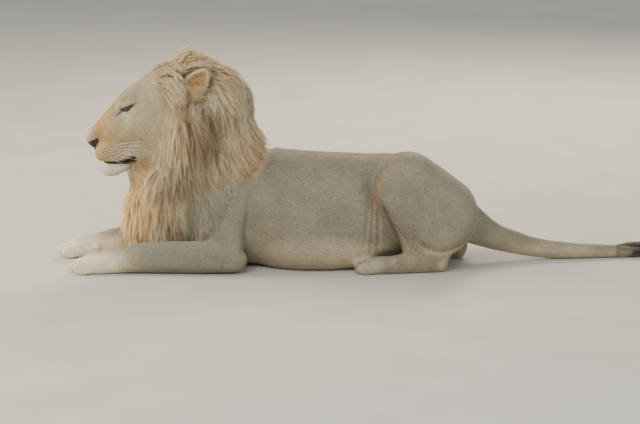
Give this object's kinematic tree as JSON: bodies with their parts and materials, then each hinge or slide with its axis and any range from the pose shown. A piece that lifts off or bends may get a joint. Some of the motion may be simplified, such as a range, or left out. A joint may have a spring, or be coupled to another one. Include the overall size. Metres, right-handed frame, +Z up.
{
  "type": "life-size lion model",
  "caption": "Life-size still model of a young male lion lying on its chest with its head up and turned slightly to its left.",
  "frame": {"origin": "middle of the bounding box, on the floor", "axes": "the lion faces -X with its tail along +X, +Y is its right side and +Z is up"},
  "size_m": [2.2848, 0.5332, 0.8048],
  "materials": {
    "coat": "short tawny fur",
    "mane": "long soft hair",
    "pale_coat": "short cream fur",
    "tail_tuft": "long dark hair",
    "nose_leather": "damp, finely grained",
    "eye": "wet gloss"
  },
  "bodies": {
    "root": {"chest": "coat", "ear_left": "coat", "ear_right": "coat", "eye_left": "eye", "eye_right": "eye", "forearm_left": "coat", "forearm_right": "coat", "forepaw_left": "coat", "forepaw_right": "coat", "head": "coat", "hind_paw_left": "coat", "hind_paw_right": "coat", "hindquarters": "coat", "loin": "coat", "lower_jaw": "pale_coat", "mane_chest": "mane", "mane_crown": "mane", "mane_neck": "mane", "nose": "nose_leather", "shank_left": "coat", "shank_right": "coat", "tail_base": "coat", "tail_middle": "coat", "tail_tuft": "tail_tuft", "thigh_left": "coat", "thigh_right": "coat", "upper_arm_left": "coat", "upper_arm_right": "coat"}
  },
  "joints": []
}
